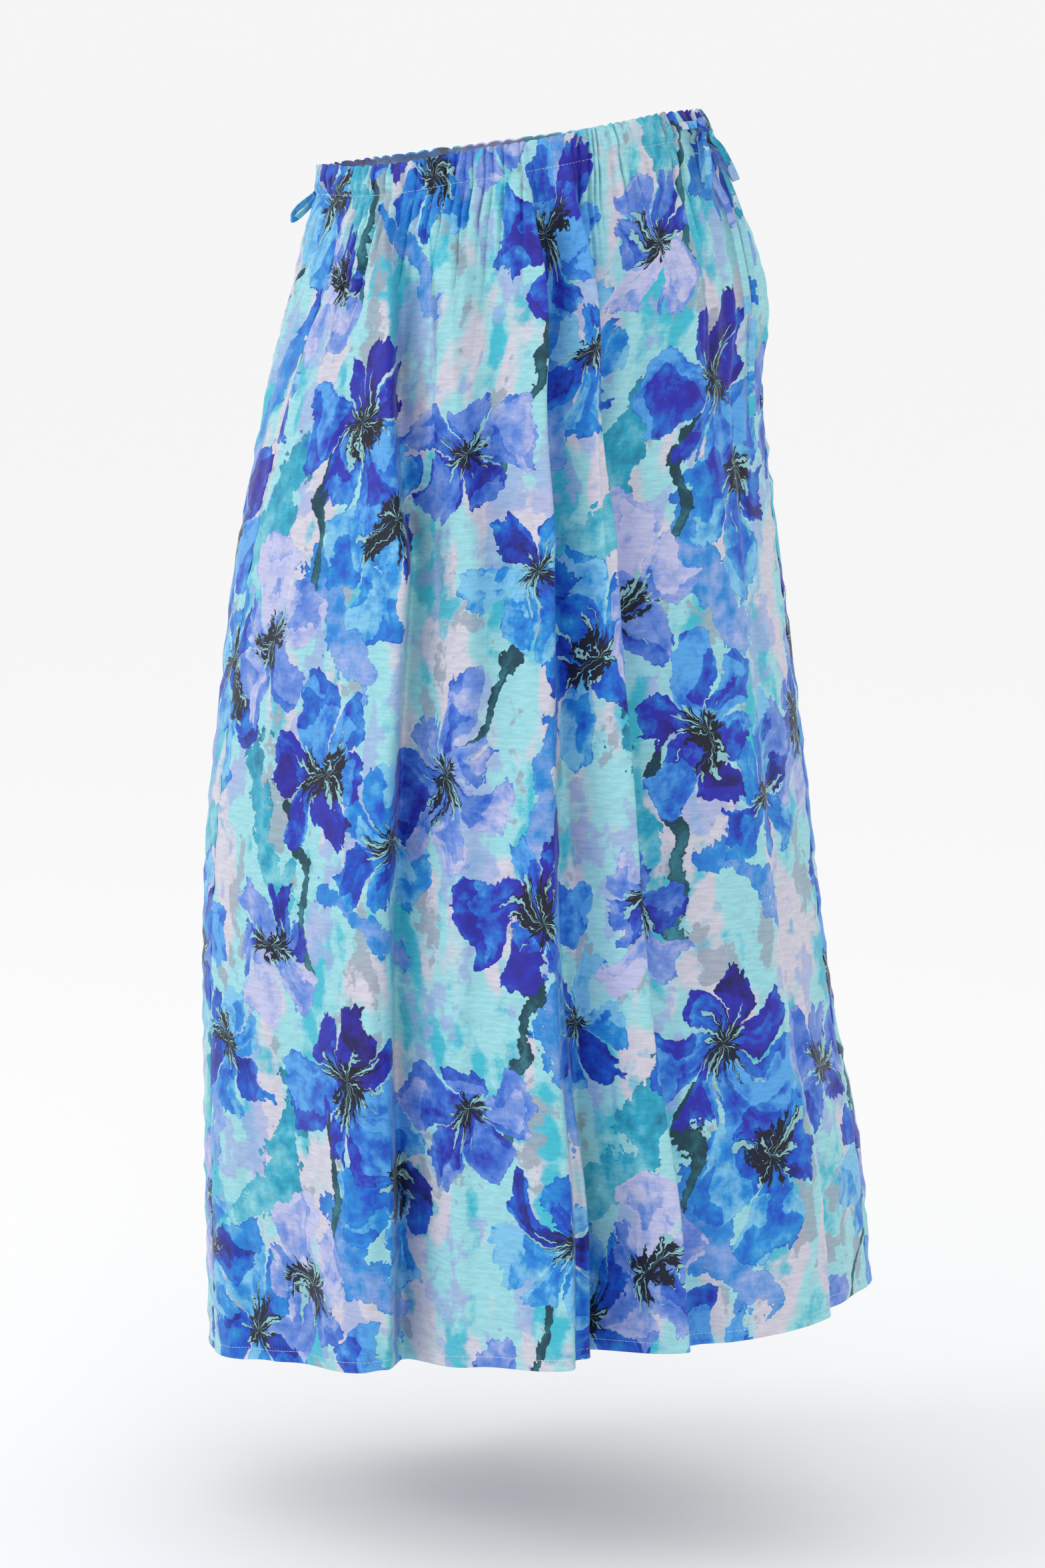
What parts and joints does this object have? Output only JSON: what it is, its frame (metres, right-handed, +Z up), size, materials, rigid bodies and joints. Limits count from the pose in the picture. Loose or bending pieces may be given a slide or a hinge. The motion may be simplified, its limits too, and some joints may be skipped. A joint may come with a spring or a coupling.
{
  "type": "a-line midi skirt",
  "caption": "Gathered a-line skirt of printed woven cloth, with a drawstring casing at the waist, side seam pockets and a bow tied at each side.",
  "frame": {"origin": "centre of the waist's top edge, on the wearer's axis", "axes": "+Z up along the wearer, +X towards the wearer's left side, -Y towards the front"},
  "size_m": [0.5323, 0.41, 0.9737],
  "materials": {
    "printed_cloth": "light crinkled woven cloth, printed with loose watercolour flowers in blues, turquoise and lilac on off-white, soft matt with a faint sheen",
    "tie_cloth": "narrow folded strips of the same printed cloth, edge stitched, soft matt"
  },
  "bodies": {
    "root": {"front_panel": "printed_cloth", "back_panel": "printed_cloth", "left_pocket_bag": "printed_cloth", "right_pocket_bag": "printed_cloth", "left_tie_knot": "tie_cloth", "left_tie_lead_front": "tie_cloth", "left_tie_lead_back": "tie_cloth", "left_tie_loop_front": "tie_cloth", "left_tie_loop_back": "tie_cloth", "left_tie_tail_short": "tie_cloth", "left_tie_tail_long": "tie_cloth", "right_tie_knot": "tie_cloth", "right_tie_lead_front": "tie_cloth", "right_tie_lead_back": "tie_cloth", "right_tie_loop_front": "tie_cloth", "right_tie_loop_back": "tie_cloth", "right_tie_tail_short": "tie_cloth", "right_tie_tail_long": "tie_cloth"}
  },
  "joints": []
}
